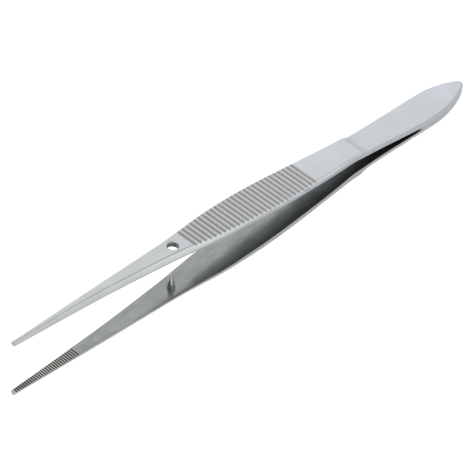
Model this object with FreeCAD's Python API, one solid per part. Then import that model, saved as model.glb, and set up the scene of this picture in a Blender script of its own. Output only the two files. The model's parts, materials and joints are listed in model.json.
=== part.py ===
import FreeCAD, Part
import math
import os

# Thumb forceps with a guide pin: two flat spring arms, welded face to face at the tail, and a
# tapered pin that is riveted into one arm and points at a hole in the other.
#
# An arm is drawn over the middle plane z = 0 with its tip at x = 0 and its tail towards +X. The
# other arm is its mirror image. The pair is then laid down on the lower arm, as it rests on a
# table, and centred. All sizes are in millimetres, and a size named AT is a distance from the tips.

LENGTH = 115.8
TAIL_LENGTH = 14.7
SPRING_LENGTH = 16.2
WELD_AT = LENGTH - TAIL_LENGTH
WAIST_AT = WELD_AT - SPRING_LENGTH

# Widths across the arm, at the inner face.
TIP_WIDTH = 0.94
BEAK_AT = 18.0
BEAK_WIDTH = 2.62
GUIDE_AT = 38.2
GUIDE_WIDTH = 5.12
SHOULDER_WIDTH = 7.16
GRIP_WIDTH = 7.7
GRIP_END_WIDTH = 7.1
WAIST_WIDTH = 5.78
TAIL_WIDTH = 7.1

# Thickness of one arm. The spring is thinner than the tail by what the throat takes away inside.
TIP_THICKNESS = 0.78
BEAK_THICKNESS = 1.16
GRIP_THICKNESS = 1.15
WAIST_THICKNESS = 1.27
TAIL_THICKNESS = 1.12

# Ground bevel along each outer edge, and the height of the upright edge that it leaves.
TIP_BEVEL = 0.2
BEAK_BEVEL = 0.6
GUIDE_BEVEL = 0.76
GRIP_BEVEL = 0.35
WAIST_BEVEL = 0.14
SPRING_BEVEL = 0.2
TAIL_BEVEL = 0.28
TIP_EDGE = 0.34
GRIP_EDGE = 0.78

# Side shape of the inner face: a short steep throat in front of the weld, the flatter root of the
# spring, its straight spread, and two bends inwards.
WELD_BEND_LENGTH = 0.7
THROAT_SLOPE = 0.3
THROAT_LENGTH = 1.15
THROAT_BEND_LENGTH = 1.0
ROOT_SLOPE = 0.055
ROOT_LENGTH = 8.4
ROOT_BEND_LENGTH = 4.0
SPREAD_SLOPE = 0.0755
REAR_BEND_AT = 52.2
REAR_BEND_LENGTH = 8.0
REAR_BEND_SLOPE = 0.028
FRONT_BEND_AT = 22.0
FRONT_BEND_LENGTH = 8.0
FRONT_BEND_SLOPE = 0.0315

# The tail's ogive. It is ground by hand, so that its nose lies a little off the middle.
NOSE_RADIUS = 1.0
NOSE_OFFSET = 0.4
FAR_OGIVE_LENGTH = 9.3
NEAR_OGIVE_LENGTH = 12.3

# Cross grooves of the thumb grip, on the outer face.
GROOVES_BEHIND_GUIDE = 3.6
FIRST_GROOVE_AT = GUIDE_AT + GROOVES_BEHIND_GUIDE
GROOVE_PITCH = 1.105
GROOVE_COUNT = 28
GROOVE_WIDTH = 0.84
GROOVE_DEPTH = 0.3

# Cross teeth of the gripping tips, on the inner face.
FIRST_TOOTH_AT = 0.6
TOOTH_PITCH = 0.5
TOOTH_COUNT = 29
TOOTH_WIDTH = 0.3
TOOTH_DEPTH = 0.12

# Guide pin and the hole that it points at.
PIN_RADIUS = 0.75
PIN_TOP_RADIUS = 0.3
PIN_CROWN_RADIUS = 0.1
PIN_HEIGHT = 2.9
GUIDE_HOLE_CLEARANCE = 0.34
GUIDE_HOLE_CHAMFER = 0.1

# The ground shoulder behind the waist, where the spring tail starts, steepest at its front.
SHOULDER_LENGTH = 1.8
SHOULDER_STEEP_SHARE = 0.35

# Places in the grooved grip, as shares from its first groove to its last.
GRIP_SHOULDER_SHARE = 0.24
GRIP_WIDEST_SHARE = 0.62

# How finely the lofts and the search for the resting angle follow the shape.
FRONT_SECTIONS = 16
SPRING_SECTIONS = 5
THROAT_SECTIONS = 8
REST_STEPS = 160
OVERRUN = 1.0


def smooth(knots, at):
    """Value at one distance on the monotone curve through (distance, value) knots."""
    if at <= knots[0][0]:
        return knots[0][1]
    if at >= knots[-1][0]:
        return knots[-1][1]
    spans = [b[0] - a[0] for a, b in zip(knots, knots[1:])]
    rises = [(b[1] - a[1]) / span for a, b, span in zip(knots, knots[1:], spans)]
    slopes = [rises[0]]
    for i in range(1, len(rises)):
        before, after = rises[i - 1], rises[i]
        level = before * after <= 0
        slopes.append(0.0 if level else 2 * before * after / (before + after))
    slopes.append(rises[-1])
    i = max(k for k, knot in enumerate(knots[:-1]) if knot[0] <= at)
    u = (at - knots[i][0]) / spans[i]
    start, end = knots[i][1], knots[i + 1][1]
    bend_in, bend_out = slopes[i] * spans[i], slopes[i + 1] * spans[i]
    cubic = bend_in + bend_out - 2 * (end - start)
    square = 3 * (end - start) - 2 * bend_in - bend_out
    return ((cubic * u + square) * u + bend_in) * u + start


def bend(distance, length):
    """Height gained over a bend of unit slope whose middle lies this far behind."""
    half = length / 2
    if distance <= -half:
        return 0.0
    if distance >= half:
        return distance
    return (distance + half) ** 2 / (4 * half)


def last_groove_at():
    return FIRST_GROOVE_AT + (GROOVE_COUNT - 1) * GROOVE_PITCH


def groove_at(share):
    """Distance of a place in the grooved grip, from 0 at its first groove to 1 at its last."""
    return FIRST_GROOVE_AT + share * (last_groove_at() - FIRST_GROOVE_AT)


def half_width(at):
    knots = [
        (0.0, TIP_WIDTH),
        (BEAK_AT, BEAK_WIDTH),
        (GUIDE_AT, GUIDE_WIDTH),
        (groove_at(GRIP_SHOULDER_SHARE), SHOULDER_WIDTH),
        (groove_at(GRIP_WIDEST_SHARE), GRIP_WIDTH),
        (groove_at(1.0), GRIP_END_WIDTH),
        (WAIST_AT, WAIST_WIDTH),
        (WELD_AT, TAIL_WIDTH),
    ]
    return smooth(knots, at) / 2


def throat_end():
    """Distance at which the throat has opened and the root of the spring begins."""
    return WELD_AT - WELD_BEND_LENGTH / 2 - THROAT_LENGTH - THROAT_BEND_LENGTH / 2


def inner_height(at):
    weld_middle = WELD_AT - WELD_BEND_LENGTH / 2
    throat = THROAT_SLOPE * bend(weld_middle - at, WELD_BEND_LENGTH)
    eased = (THROAT_SLOPE - ROOT_SLOPE) * bend(weld_middle - THROAT_LENGTH - at, THROAT_BEND_LENGTH)
    spread = (SPREAD_SLOPE - ROOT_SLOPE) * bend(WELD_AT - ROOT_LENGTH - at, ROOT_BEND_LENGTH)
    rear = REAR_BEND_SLOPE * bend(REAR_BEND_AT - at, REAR_BEND_LENGTH)
    front = FRONT_BEND_SLOPE * bend(FRONT_BEND_AT - at, FRONT_BEND_LENGTH)
    return throat - eased + spread - rear - front


def throat_depth(at):
    """What is ground off the inner face before the weld; the outer face runs straight over it."""
    reach = WELD_AT - max(at, throat_end())
    return inner_height(WELD_AT - reach) - ROOT_SLOPE * reach


def spring_middle():
    return WELD_AT - SPRING_LENGTH / 2


def thickness(at):
    knots = [
        (0.0, TIP_THICKNESS),
        (BEAK_AT, BEAK_THICKNESS),
        (groove_at(0.0), GRIP_THICKNESS),
        (groove_at(GRIP_WIDEST_SHARE), GRIP_THICKNESS),
        (WAIST_AT, WAIST_THICKNESS),
    ]
    if at <= WAIST_AT:
        return smooth(knots, at)
    shoulder = max(0.0, 1 - (at - WAIST_AT) / SHOULDER_LENGTH) ** 2
    step = WAIST_THICKNESS - TAIL_THICKNESS + throat_depth(WAIST_AT)
    return TAIL_THICKNESS - throat_depth(at) + step * shoulder


def bevel_width(at):
    knots = [
        (0.0, TIP_BEVEL),
        (BEAK_AT, BEAK_BEVEL),
        (GUIDE_AT, GUIDE_BEVEL),
        (groove_at(GRIP_WIDEST_SHARE), GRIP_BEVEL),
        (groove_at(1.0), GRIP_BEVEL),
        (WAIST_AT, WAIST_BEVEL),
        (WAIST_AT + SHOULDER_LENGTH, SPRING_BEVEL),
        (spring_middle(), SPRING_BEVEL),
        (WELD_AT, TAIL_BEVEL),
    ]
    return smooth(knots, at)


def edge_height(at):
    if at > WAIST_AT:
        return thickness(at) - bevel_width(at)
    knots = [
        (0.0, TIP_EDGE),
        (GUIDE_AT, TIP_EDGE),
        (groove_at(GRIP_WIDEST_SHARE), GRIP_EDGE),
        (groove_at(1.0), GRIP_EDGE),
        (WAIST_AT, WAIST_THICKNESS - WAIST_BEVEL),
    ]
    return smooth(knots, at)


def outer_height(at):
    return inner_height(at) + thickness(at)


def section(at):
    """Six-sided section of an arm: flat inner face, upright edges, bevels, flat outer face."""
    side = half_width(at)
    flat = side - bevel_width(at)
    inner = inner_height(at)
    edge = inner + edge_height(at)
    outer = outer_height(at)
    corners = [
        (-side, inner),
        (side, inner),
        (side, edge),
        (flat, outer),
        (-flat, outer),
        (-side, edge),
    ]
    points = [FreeCAD.Vector(at, y, z) for y, z in corners]
    return Part.makePolygon(points + points[:1])


def front_blank():
    """The arm from its tip to the waist."""
    stops = [WAIST_AT * i / FRONT_SECTIONS for i in range(FRONT_SECTIONS + 1)]
    return Part.makeLoft([section(at) for at in stops], True)


def spring_blank():
    """The thinner spring behind the waist: a ground shoulder and a straight run."""
    shoulder = [WAIST_AT + SHOULDER_LENGTH * share for share in (0.0, SHOULDER_STEEP_SHARE, 1.0)]
    run = throat_end() - shoulder[-1]
    stops = [shoulder[-1] + run * i / SPRING_SECTIONS for i in range(1, SPRING_SECTIONS + 1)]
    return Part.makeLoft([section(at) for at in shoulder + stops], True)


def throat_blank():
    """The throat at the weld, in straight steps, so that the inner face stays on its own side."""
    run = WELD_AT - throat_end()
    stops = [throat_end() + run * i / THROAT_SECTIONS for i in range(THROAT_SECTIONS + 1)]
    return Part.makeLoft([section(at) for at in stops], True, True)


def ogive(length, hand):
    """Start, middle and end of the arc from one straight side of the tail to its nose."""
    side = half_width(WELD_AT)
    reach = side - hand * NOSE_OFFSET
    run = length - NOSE_RADIUS
    radius = (run**2 + reach**2 - NOSE_RADIUS**2) / (2 * (reach - NOSE_RADIUS))
    turn = math.atan2(radius - reach, run)
    points = []
    for angle in (math.pi / 2, (math.pi / 2 + turn) / 2, turn):
        x = LENGTH - length + radius * math.cos(angle)
        y = side - radius + radius * math.sin(angle)
        points.append(FreeCAD.Vector(x, hand * y, 0))
    return points


def tail_outline():
    """Plan of the welded tail: parallel sides, two ogive arcs and a rounded nose between them."""
    side = half_width(WELD_AT)
    far_corner = FreeCAD.Vector(WELD_AT, side, 0)
    near_corner = FreeCAD.Vector(WELD_AT, -side, 0)
    nose = FreeCAD.Vector(LENGTH, NOSE_OFFSET, 0)
    far = ogive(FAR_OGIVE_LENGTH, 1)
    near = ogive(NEAR_OGIVE_LENGTH, -1)
    lines = [
        Part.LineSegment(far_corner, far[0]),
        Part.Arc(*far),
        Part.Arc(far[2], nose, near[2]),
        Part.Arc(near[2], near[1], near[0]),
        Part.LineSegment(near[0], near_corner),
        Part.LineSegment(near_corner, far_corner),
    ]
    return Part.Wire([line.toShape() for line in lines])


def tail_blank():
    """The flat welded end of an arm, with the spring's bevel carried round its outer edge."""
    plate = Part.Face(tail_outline()).extrude(FreeCAD.Vector(0, 0, TAIL_THICKNESS))
    rim = []
    for edge in plate.Edges:
        low, high = edge.BoundBox.ZMin, edge.BoundBox.ZMax
        on_top = min(low, high) > TAIL_THICKNESS / 2
        at_joint = edge.BoundBox.XMax < WELD_AT + TAIL_BEVEL
        if on_top and not at_joint:
            rim.append(edge)
    return plate.makeChamfer(TAIL_BEVEL, rim)


def cross_cutter(stops, surface, depth, width, outwards):
    """V-shaped cuts straight across a face; outwards is 1 for the outer face, -1 for the inner."""
    cutters = []
    for at in stops:
        reach = half_width(at) + OVERRUN
        half = width / 2
        lift = depth * OVERRUN / half
        corners = [
            (at - half - OVERRUN, surface(at - half) + outwards * lift),
            (at, surface(at) - outwards * depth),
            (at + half + OVERRUN, surface(at + half) + outwards * lift),
        ]
        points = [FreeCAD.Vector(x, -reach, z) for x, z in corners]
        face = Part.Face(Part.makePolygon(points + points[:1]))
        cutters.append(face.extrude(FreeCAD.Vector(0, 2 * reach, 0)))
    return cutters


def arm_blank():
    """One arm with its grip grooves and tip teeth, before the guide is drilled."""
    blank = front_blank().fuse([spring_blank(), throat_blank(), tail_blank()]).removeSplitter()
    grooves = [FIRST_GROOVE_AT + i * GROOVE_PITCH for i in range(GROOVE_COUNT)]
    teeth = [FIRST_TOOTH_AT + i * TOOTH_PITCH for i in range(TOOTH_COUNT)]
    cutters = cross_cutter(grooves, outer_height, GROOVE_DEPTH, GROOVE_WIDTH, 1)
    cutters += cross_cutter(teeth, inner_height, TOOTH_DEPTH, TOOTH_WIDTH, -1)
    return blank.cut(cutters)


def guide_axis():
    """Foot of the guide on the inner face, and the face's normal away from the middle plane."""
    slope = (inner_height(GUIDE_AT + PIN_RADIUS) - inner_height(GUIDE_AT - PIN_RADIUS)) / (2 * PIN_RADIUS)
    foot = FreeCAD.Vector(GUIDE_AT, 0, inner_height(GUIDE_AT))
    normal = FreeCAD.Vector(-slope, 0, 1)
    return foot, normal.normalize()


def guide_hole():
    """The hole in the upper arm, with a light chamfer at its outer rim."""
    foot, normal = guide_axis()
    radius = PIN_RADIUS + GUIDE_HOLE_CLEARANCE
    wall = thickness(GUIDE_AT)
    start = foot - normal * OVERRUN
    hole = Part.makeCylinder(radius, wall + 2 * OVERRUN, start, normal)
    rim = foot + normal * (wall - GUIDE_HOLE_CHAMFER)
    wide = radius + GUIDE_HOLE_CHAMFER + OVERRUN
    return hole.fuse(Part.makeCone(radius, wide, GUIDE_HOLE_CHAMFER + OVERRUN, rim, normal))


def mirrored(shape):
    return shape.mirror(FreeCAD.Vector(0, 0, 0), FreeCAD.Vector(0, 0, 1))


def guide_pin():
    """The pin: a shank that fills its seat flush, and a slim cone with a rounded end."""
    foot, normal = guide_axis()
    point = FreeCAD.Vector
    rounding = PIN_TOP_RADIUS - PIN_CROWN_RADIUS
    straight = PIN_HEIGHT - rounding
    corner = rounding * math.sqrt(0.5)
    buried = -thickness(GUIDE_AT) * normal.z
    root = point(0, 0, buried)
    root_rim = point(PIN_RADIUS, 0, buried)
    collar = point(PIN_RADIUS, 0, 0)
    neck = point(PIN_TOP_RADIUS, 0, straight)
    round_middle = point(PIN_CROWN_RADIUS + corner, 0, straight + corner)
    crown_rim = point(PIN_CROWN_RADIUS, 0, PIN_HEIGHT)
    crown = point(0, 0, PIN_HEIGHT)
    outline = [
        Part.LineSegment(root, root_rim),
        Part.LineSegment(root_rim, collar),
        Part.LineSegment(collar, neck),
        Part.Arc(neck, round_middle, crown_rim),
        Part.LineSegment(crown_rim, crown),
        Part.LineSegment(crown, root),
    ]
    face = Part.Face(Part.Wire([line.toShape() for line in outline]))
    pin = face.revolve(point(0, 0, 0), point(0, 0, 1), 360)
    pin.Placement = FreeCAD.Placement(foot, FreeCAD.Rotation(point(0, 0, 1), -normal))
    return mirrored(pin)


def rest_tilt():
    """Angle that brings the lower arm's belly and the end of its tail onto one table."""
    end = LENGTH - TAIL_BEVEL
    belly = [WAIST_AT * i / REST_STEPS for i in range(REST_STEPS)]
    return max(math.atan2(outer_height(at) - TAIL_THICKNESS, end - at) for at in belly)


def laid_down(shapes):
    """The forceps as it rests, centred over the origin with its lowest point at z = 0."""
    origin, across = FreeCAD.Vector(0, 0, 0), FreeCAD.Vector(0, 1, 0)
    turned = [shape.rotated(origin, across, math.degrees(rest_tilt())) for shape in shapes]
    box = Part.makeCompound(turned).optimalBoundingBox()
    shift = FreeCAD.Vector(-box.Center.x, -box.Center.y, -box.ZMin)
    return [shape.translated(shift) for shape in turned]


def pin_seat():
    """The hole through the lower arm that the pin's shank fills."""
    foot, normal = guide_axis()
    drill_length = thickness(GUIDE_AT) + 2 * OVERRUN
    return mirrored(Part.makeCylinder(PIN_RADIUS, drill_length, foot - normal * OVERRUN, normal))


def write_parts():
    blank = arm_blank()
    pieces = {
        "upper_arm": blank.cut(guide_hole()),
        "lower_arm": mirrored(blank).cut(pin_seat()),
        "guide_pin": guide_pin(),
    }
    os.makedirs("parts", exist_ok=True)
    for name, shape in zip(pieces, laid_down(list(pieces.values()))):
        solid = shape.Solids[0]
        solid.exportStep(os.path.join("parts", name + ".step"))
        print(name, "solids", len(shape.Solids), "valid", solid.isValid(), "mm3", round(solid.Volume, 2))


write_parts()
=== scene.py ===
import bmesh
import bpy
import json
import math
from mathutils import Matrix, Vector

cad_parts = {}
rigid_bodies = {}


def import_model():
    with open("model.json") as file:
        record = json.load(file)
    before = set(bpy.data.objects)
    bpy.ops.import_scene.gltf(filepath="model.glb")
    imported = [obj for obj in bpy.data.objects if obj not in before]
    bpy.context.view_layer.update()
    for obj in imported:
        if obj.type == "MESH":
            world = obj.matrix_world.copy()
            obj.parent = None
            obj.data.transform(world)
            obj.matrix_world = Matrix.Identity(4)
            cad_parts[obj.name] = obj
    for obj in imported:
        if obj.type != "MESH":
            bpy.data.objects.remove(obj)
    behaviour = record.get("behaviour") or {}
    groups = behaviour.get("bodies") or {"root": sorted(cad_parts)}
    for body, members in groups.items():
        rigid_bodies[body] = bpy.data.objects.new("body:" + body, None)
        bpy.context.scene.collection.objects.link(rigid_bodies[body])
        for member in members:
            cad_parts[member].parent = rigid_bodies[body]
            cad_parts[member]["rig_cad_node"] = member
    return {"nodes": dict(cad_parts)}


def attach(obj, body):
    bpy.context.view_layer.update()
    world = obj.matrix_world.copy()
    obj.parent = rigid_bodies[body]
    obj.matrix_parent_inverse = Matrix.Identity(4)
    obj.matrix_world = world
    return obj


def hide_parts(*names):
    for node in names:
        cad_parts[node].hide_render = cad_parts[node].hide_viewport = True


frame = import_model()
bpy.context.view_layer.update()
scene = bpy.context.scene

# Both arms: stainless spring steel, stamped, bent and ground to shape, and welded together at the
# tail. The outside is blasted with glass beads, the inside is left as ground, the sides as they were
# tumbled, which also broke every sharp edge, and the grooves, teeth and guide hole as cut.

# How far each kind of edge is rounded.
CREASE_ROUNDING = 0.00018
GRIP_CREASE_ROUNDING = 0.00009
SIDE_ROUNDING = 0.0001
GROOVE_ROUNDING = 0.0001
HOLE_ROUNDING = 0.00004
TOOTH_ROUNDING = 0.00002
ROUNDING_STEPS = 4

# Where things are along the arms: the teeth end, the thumb grooves, the step of the waist, and the
# guide hole with the radius in which a face belongs to it.
TOOTHED_TO = -0.0427
GROOVED_FROM, GROOVED_TO = -0.0168, 0.015
WAIST_AT = 0.0274
GUIDE_HOLE = Vector((-0.01923, 0.0))
GUIDE_HOLE_REACH = 0.00135

# The surfaces of an arm, numbered in the order of its steels below.
SATIN, GROUND, SIDE, GROOVE, TOOTH, BORE, CREST = range(7)


def linear(hex_colour):
    """The linear colour of an sRGB hex value."""
    channels = [int(hex_colour[i:i + 2], 16) / 255 for i in (1, 3, 5)]
    return [c / 12.92 if c <= 0.04045 else ((c + 0.055) / 1.055) ** 2.4 for c in channels] + [1.0]


def add(tree, kind, settings=(), inputs=()):
    """A new node with its settings, and with a value or a link for each input that is named."""
    node = tree.nodes.new(kind)
    for name, value in dict(settings).items():
        setattr(node, name, value)
    for socket, value in dict(inputs).items():
        if isinstance(value, bpy.types.NodeSocket):
            tree.links.new(value, node.inputs[socket])
        else:
            node.inputs[socket].default_value = value
    return node


def bare_steel(name, roughness):
    """A plain steel, with what the finishes add to: its tree, its shader and the place on it."""
    material = bpy.data.materials.new(name)
    material.use_nodes = True
    tree = material.node_tree
    shader = tree.nodes["Principled BSDF"]
    shader.inputs["Metallic"].default_value = 1.0
    shader.inputs["Roughness"].default_value = roughness
    return material, tree, shader, add(tree, "ShaderNodeTexCoord").outputs["Object"]


# Blasted with glass beads: tiny dents scatter the light, so the outside is an even soft grey with
# no sharp reflection, a little brighter and bluer towards the tail, and very faintly clouded where
# the blast passed over it. The dents are really about 0.05 mm across, and twice that here, to show.
BEAD_DENT = 0.00011
BLAST_CLOUD = 0.00625


def bead_blasted_steel():
    material, tree, shader, place = bare_steel("bead_blasted_stainless_steel", roughness=0.36)
    blast = add(tree, "ShaderNodeTexNoise", inputs={
        "Vector": place, "Scale": 1 / BEAD_DENT, "Detail": 3.0})
    cloud = add(tree, "ShaderNodeTexNoise", inputs={
        "Vector": place, "Scale": 1 / BLAST_CLOUD, "Detail": 2.0})
    along = add(tree, "ShaderNodeSeparateXYZ", inputs={"Vector": place})
    to_tail = add(tree, "ShaderNodeMapRange", {"interpolation_type": "SMOOTHSTEP"}, {
        "Value": along.outputs["X"], "From Min": -0.04, "From Max": 0.03})
    dull = add(tree, "ShaderNodeMix", {"data_type": "RGBA"}, {
        "Factor": to_tail.outputs["Result"], "A": linear("#BCC0C0"), "B": linear("#C4C9CE")})
    bright = add(tree, "ShaderNodeMix", {"data_type": "RGBA"}, {
        "Factor": to_tail.outputs["Result"], "A": linear("#D0D4D4"), "B": linear("#D3D8DE")})
    tone = add(tree, "ShaderNodeMix", {"data_type": "RGBA"}, {
        "Factor": cloud.outputs["Fac"], "A": dull.outputs["Result"], "B": bright.outputs["Result"]})
    bump = add(tree, "ShaderNodeBump", inputs={
        "Height": blast.outputs["Fac"], "Strength": 0.12, "Distance": 0.00002})
    tree.links.new(tone.outputs["Result"], shader.inputs["Base Color"])
    tree.links.new(bump.outputs["Normal"], shader.inputs["Normal"])
    return material


# Ground along its length and not polished after: a flatter grey that blurs what it reflects into a
# soft gradient, with fine lines that run along the arm and a faint mottle of handling. Its darker
# grey is painted shade of the gap between the arms. The lines are really about 0.1 mm apart, and
# drawn several times as coarse, to show.
GRINDING_LINE_LENGTH = 0.0033
GRINDING_LINE_WIDTH = 0.00067
HANDLING_MARK = 0.0029


def ground_steel_with_painted_shade():
    material, tree, shader, place = bare_steel("ground_stainless_steel_painted_shade", roughness=0.28)
    along = add(tree, "ShaderNodeMapping", inputs={"Vector": place, "Scale": (
        1 / GRINDING_LINE_LENGTH, 1 / GRINDING_LINE_WIDTH, 1 / GRINDING_LINE_LENGTH)})
    scratch = add(tree, "ShaderNodeTexNoise", inputs={
        "Vector": along.outputs["Vector"], "Scale": 1.0, "Detail": 3.0})
    stain = add(tree, "ShaderNodeTexNoise", inputs={
        "Vector": place, "Scale": 1 / HANDLING_MARK, "Detail": 4.0})
    mottle = add(tree, "ShaderNodeMath", {"operation": "MULTIPLY"}, {
        0: scratch.outputs["Fac"], 1: stain.outputs["Fac"]})
    patchy = add(tree, "ShaderNodeMapRange", inputs={
        "Value": mottle.outputs["Value"], "From Min": 0.12, "From Max": 0.4})
    # Painted shade: both greys are darker than the steel, standing in for the shade between the
    # arms.
    tone = add(tree, "ShaderNodeMix", {"data_type": "RGBA"}, {
        "Factor": patchy.outputs["Result"], "A": linear("#8D8F8F"), "B": linear("#9FA2A3")})
    bump = add(tree, "ShaderNodeBump", inputs={
        "Height": scratch.outputs["Fac"], "Strength": 0.1, "Distance": 0.00002})
    tree.links.new(tone.outputs["Result"], shader.inputs["Base Color"])
    tree.links.new(bump.outputs["Normal"], shader.inputs["Normal"])
    return material


# Stamped edges after tumbling with stones: the dullest steel on the arm, pale and even, with soft
# patches about as wide as the stones' blows, 1.4 mm.
STONE_MARK = 0.0014


def tumbled_steel():
    material, tree, shader, place = bare_steel("tumbled_stainless_edge", roughness=0.4)
    cloud = add(tree, "ShaderNodeTexNoise", inputs={
        "Vector": place, "Scale": 1 / STONE_MARK, "Detail": 2.0})
    tone = add(tree, "ShaderNodeMix", {"data_type": "RGBA"}, {
        "Factor": cloud.outputs["Fac"], "A": linear("#B0B3B5"), "B": linear("#BEC1C3")})
    tree.links.new(tone.outputs["Result"], shader.inputs["Base Color"])
    return material


# Left as cut: flanks that turn dark towards the bottom of a cut in painted shade of the recess, so
# that grooves and teeth read as crisp stripes. The painted shade line wavers with noise over about
# two thirds of a millimetre. The crests of the teeth, which close on each other, are rubbed bright.
SHADE_WAVER = 0.00067


def cut_steel_with_painted_shade(name, flank, bottom, roughness):
    material, tree, shader, place = bare_steel(name, roughness)
    shade_waver = add(tree, "ShaderNodeTexNoise", inputs={
        "Vector": place, "Scale": 1 / SHADE_WAVER, "Detail": 3.0})
    depth = add(tree, "ShaderNodeAttribute", {"attribute_name": "cut_depth"})
    uneven = add(tree, "ShaderNodeMath", {"operation": "MULTIPLY_ADD"}, {
        0: shade_waver.outputs["Fac"], 1: 0.5, 2: -0.25})
    painted_shade = add(tree, "ShaderNodeMath", {"operation": "ADD"}, {
        0: depth.outputs["Fac"], 1: uneven.outputs["Value"]})
    low = add(tree, "ShaderNodeMapRange", {"interpolation_type": "SMOOTHSTEP"}, {
        "Value": painted_shade.outputs["Value"], "From Min": 0.3, "From Max": 0.9})
    # The bottom colour is painted shade; for the teeth and the bore the flank colour is painted dark
    # too.
    tone = add(tree, "ShaderNodeMix", {"data_type": "RGBA"}, {
        "Factor": low.outputs["Result"], "A": linear(flank), "B": linear(bottom)})
    tree.links.new(tone.outputs["Result"], shader.inputs["Base Color"])
    return material


arm_steels = [
    bead_blasted_steel(),
    ground_steel_with_painted_shade(),
    tumbled_steel(),
    # Painted shade: the groove, tooth and bore steels darken towards the bottom of each cut, and the
    # tooth flanks and bore wall are painted dark as a whole.
    cut_steel_with_painted_shade("milled_stainless_groove_painted_shade", "#C8C7C6", "#A09F9F", roughness=0.3),
    cut_steel_with_painted_shade("cut_stainless_tooth_painted_shade", "#6C6E69", "#0C0D0B", roughness=0.3),
    cut_steel_with_painted_shade("drilled_stainless_bore_painted_shade", "#707477", "#606466", roughness=0.35),
    cut_steel_with_painted_shade("burnished_tooth_crest", "#B6B8B2", "#A8AAA4", roughness=0.3),
]

# How the surfaces are told apart, by the part of a face's normal that points inwards or along.
INWARD = 0.5
LEVEL_INWARD = 0.9
UPRIGHT = 0.3
LEVEL_OUTWARD = -0.85
CUT_ACROSS = 0.3


def surface_of(face, inward):
    """Which of the arm's surfaces a face belongs to."""
    x, y, _ = face.calc_center_median()
    facing = face.normal.z * inward
    if facing > LEVEL_INWARD:
        return CREST if x < TOOTHED_TO else GROUND
    if facing > INWARD:
        return TOOTH
    if abs(facing) < UPRIGHT:
        near_hole = (Vector((x, y)) - GUIDE_HOLE).length < GUIDE_HOLE_REACH
        return BORE if near_hole else SIDE
    if facing > LEVEL_OUTWARD and x > WAIST_AT:
        return SIDE
    cut_across = abs(face.normal.x) > CUT_ACROSS and GROOVED_FROM < x < GROOVED_TO
    return GROOVE if cut_across else SATIN


FLAT_ANGLE = math.radians(22)


def rounding_of(edge):
    """How far tumbling has rounded an edge, from the two surfaces that meet there."""
    if len(edge.link_faces) != 2 or edge.calc_face_angle() < FLAT_ANGLE:
        return 0.0
    surfaces = {face.material_index for face in edge.link_faces}
    if TOOTH in surfaces:
        return TOOTH_ROUNDING
    if BORE in surfaces:
        return HOLE_ROUNDING
    if GROOVE in surfaces:
        return GROOVE_ROUNDING if SATIN in surfaces else 0.0
    if surfaces == {SATIN}:
        x = (edge.verts[0].co.x + edge.verts[1].co.x) / 2
        return GRIP_CREASE_ROUNDING if GROOVED_FROM < x < GROOVED_TO else CREASE_ROUNDING
    return SIDE_ROUNDING


MERGE_DISTANCE = 0.000001
FACET_ANGLE = math.radians(0.5)
SMOOTH_ANGLE = math.radians(20)


def finished_arm(node_name, inward):
    """A copy of the arm with broken edges. Its inner face looks in the z direction inward."""
    node = frame["nodes"][node_name]
    bpy.ops.object.select_all(action="DESELECT")
    node.select_set(True)
    bpy.context.view_layer.objects.active = node
    bpy.ops.object.duplicate()
    arm = bpy.context.active_object
    arm.name = node_name + "_finished"
    del arm["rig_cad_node"]

    bpy.ops.mesh.customdata_custom_splitnormals_clear()
    bpy.ops.object.mode_set(mode="EDIT")
    bpy.ops.mesh.select_all(action="SELECT")
    bpy.ops.mesh.remove_doubles(threshold=MERGE_DISTANCE)
    bpy.ops.mesh.dissolve_limited(angle_limit=FACET_ANGLE)
    bpy.ops.object.mode_set(mode="OBJECT")

    arm.data.materials.clear()
    for steel in arm_steels:
        arm.data.materials.append(steel)
    shape = bmesh.new()
    shape.from_mesh(arm.data)
    for face in shape.faces:
        face.material_index = surface_of(face, inward)
    weight = shape.edges.layers.float.new("bevel_weight_edge")
    # cut_depth marks the corners at the bottom of grooves and tooth gaps, and round the bore's inner
    # rim, where the cut steels paint shade.
    depth = shape.verts.layers.float.new("cut_depth")
    for edge in shape.edges:
        edge[weight] = rounding_of(edge) / CREASE_ROUNDING
        surfaces = {face.material_index for face in edge.link_faces}
        if surfaces in ({GROOVE}, {TOOTH}, {BORE, GROUND}):
            for corner in edge.verts:
                corner[depth] = 1.0
    shape.to_mesh(arm.data)
    shape.free()

    rounding = arm.modifiers.new("broken_edges", "BEVEL")
    rounding.limit_method = "WEIGHT"
    rounding.width = CREASE_ROUNDING
    rounding.segments = ROUNDING_STEPS
    rounding.use_clamp_overlap = False
    bpy.ops.object.modifier_apply(modifier=rounding.name)
    bpy.ops.object.shade_smooth_by_angle(angle=SMOOTH_ANGLE)

    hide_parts(node_name)
    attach(arm, "root")


finished_arm("upper_arm", inward=-1)
finished_arm("lower_arm", inward=1)

# The guide pin: a stainless pin turned to a cone, polished, and riveted through the lower arm. It
# stands free, and slides into the upper arm's hole when the tips close.
# Turned and polished: it mirrors the room in bright and dark stripes down its length, with faint
# rings round it. The rings are really about 0.03 mm apart, and drawn four times as coarse, to show.
TURNING_RING = 0.00012
polished, tree, shader, place = bare_steel("polished_stainless_pin", roughness=0.18)
upright = add(tree, "ShaderNodeMapping", inputs={
    "Vector": place, "Scale": (0.0, 0.0, 1 / TURNING_RING)})
rings = add(tree, "ShaderNodeTexNoise", inputs={
    "Vector": upright.outputs["Vector"], "Scale": 1.0, "Detail": 2.0})
tone = add(tree, "ShaderNodeMix", {"data_type": "RGBA"}, {
    "Factor": rings.outputs["Fac"], "A": linear("#A6A8AA"), "B": linear("#C0C2C4")})
bump = add(tree, "ShaderNodeBump", inputs={
    "Height": rings.outputs["Fac"], "Strength": 0.1, "Distance": 0.00001})
tree.links.new(tone.outputs["Result"], shader.inputs["Base Color"])
tree.links.new(bump.outputs["Normal"], shader.inputs["Normal"])
frame["nodes"]["guide_pin"].material_slots[0].material = polished

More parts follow.
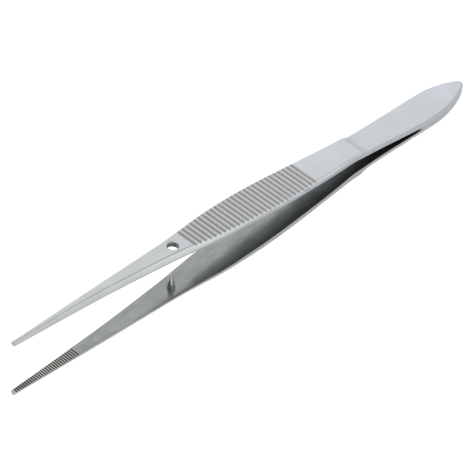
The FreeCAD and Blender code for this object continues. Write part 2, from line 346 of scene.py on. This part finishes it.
# The floor: a wide table top under matt white paper. It shows white to the eye and in the steel,
# and keeps the soft shadow of the forceps.
FLOOR_SIZE = 20.0
FLOOR_GLOW = 0.3
bpy.ops.object.select_all(action="DESELECT")
bpy.ops.mesh.primitive_plane_add(size=FLOOR_SIZE, location=(0, 0, 0))
floor = bpy.context.active_object
floor.name = "floor"
paper = bpy.data.materials.new("matt_white_paper")
paper.use_nodes = True
tree = paper.node_tree
shader = tree.nodes["Principled BSDF"]
shader.inputs["Base Color"].default_value = linear("#F2F2F2")
shader.inputs["Roughness"].default_value = 0.9
path = add(tree, "ShaderNodeLightPath")
seen = add(tree, "ShaderNodeMath", {"operation": "MAXIMUM"}, {
    0: path.outputs["Is Camera Ray"], 1: path.outputs["Is Glossy Ray"]})
seen = add(tree, "ShaderNodeMath", {"operation": "MAXIMUM"}, {
    0: seen.outputs["Value"], 1: path.outputs["Is Transmission Ray"]})
glow = add(tree, "ShaderNodeMath", {"operation": "ADD"}, {
    0: seen.outputs["Value"], 1: path.outputs["Is Camera Ray"]})
glow = add(tree, "ShaderNodeMath", {"operation": "MULTIPLY"}, {
    0: glow.outputs["Value"], 1: FLOOR_GLOW})
shader.inputs["Emission Color"].default_value = (1, 1, 1, 1)
tree.links.new(glow.outputs["Value"], shader.inputs["Emission Strength"])
floor.data.materials.append(paper)

# The studio: a pale room that is lighter towards the tail than behind the tips. Three dark screens
# stand in it, which draw the lines of the ground creases and of the grooves. Three large soft boxes
# add a little light: one behind the tail, one on the near side and one overhead.
ROOM_LIGHT = 1.0
ROOM_DIM = 0.45
LIGHT_SIDE = (0.8, 0.1, 0.59)
SCREENS = (  # the way to its middle, and how dark it is
    ((0.5, -0.1, 0.86), 0.9),
    ((-0.49, 0.51, 0.69), 0.35),
    ((0.86, 0.51, 0.02), 0.35),
)
SCREEN_INNER, SCREEN_OUTER = math.cos(math.radians(8)), math.cos(math.radians(24))
world = bpy.data.worlds.new("pale_studio")
scene.world = world
world.use_nodes = True
tree = world.node_tree
back = tree.nodes["Background"]
direction = add(tree, "ShaderNodeTexCoord").outputs["Generated"]
toward_tail = add(tree, "ShaderNodeVectorMath", {"operation": "DOT_PRODUCT"}, {
    0: direction, 1: LIGHT_SIDE})
level = add(tree, "ShaderNodeMapRange", {"interpolation_type": "SMOOTHSTEP"}, {
    "Value": toward_tail.outputs["Value"], "From Min": -0.6, "From Max": 0.8,
    "To Min": ROOM_DIM, "To Max": ROOM_LIGHT}).outputs["Result"]
for middle, darkness in SCREENS:
    toward = add(tree, "ShaderNodeVectorMath", {"operation": "DOT_PRODUCT"}, {
        0: direction, 1: middle})
    left = add(tree, "ShaderNodeMapRange", {"interpolation_type": "SMOOTHSTEP"}, {
        "Value": toward.outputs["Value"], "From Min": SCREEN_OUTER, "From Max": SCREEN_INNER,
        "To Min": 1.0, "To Max": 1.0 - darkness})
    level = add(tree, "ShaderNodeMath", {"operation": "MULTIPLY"}, {
        0: level, 1: left.outputs["Result"]}).outputs["Value"]
back.inputs["Color"].default_value = (1, 1, 1, 1)
tree.links.new(level, back.inputs["Strength"])

for name, place, size, radiance in (
    ("tail_softbox", (0.8, 0.7, 0.8), 0.7, 0.1),
    ("near_softbox", (0.5, -0.75, 0.85), 0.6, 0.45),
    ("top_softbox", (-0.3, 0.1, 1.2), 0.5, 0.1),
):
    bpy.ops.object.light_add(type="AREA", location=place)
    lamp = bpy.context.active_object
    lamp.name = name
    lamp.data.size = size
    lamp.data.energy = radiance * math.pi * size**2
    lamp.rotation_euler = (-Vector(place)).to_track_quat("-Z", "Y").to_euler()

# The camera: a long lens, looking down on the near side from in front of the tips. All of this is
# as the outlines of both arms in the photograph gave it.
CAMERA_AIM = Vector((-0.003521, 0.0, 0.0033))
CAMERA_ROLL = math.radians(0.2)
bpy.ops.object.camera_add(location=(-0.304874, -0.30302, 0.420349))
camera = bpy.context.active_object
aim = CAMERA_AIM - camera.location
camera.rotation_euler = aim.to_track_quat("-Z", "Y").to_euler()
camera.rotation_euler.rotate_axis("Z", CAMERA_ROLL)
camera.data.sensor_width = 36.0
camera.data.lens = 251.1
camera.data.clip_start = 0.01
camera.data.clip_end = 30.0
scene.camera = camera

scene.view_settings.view_transform = "Standard"

bpy.context.view_layer.update()
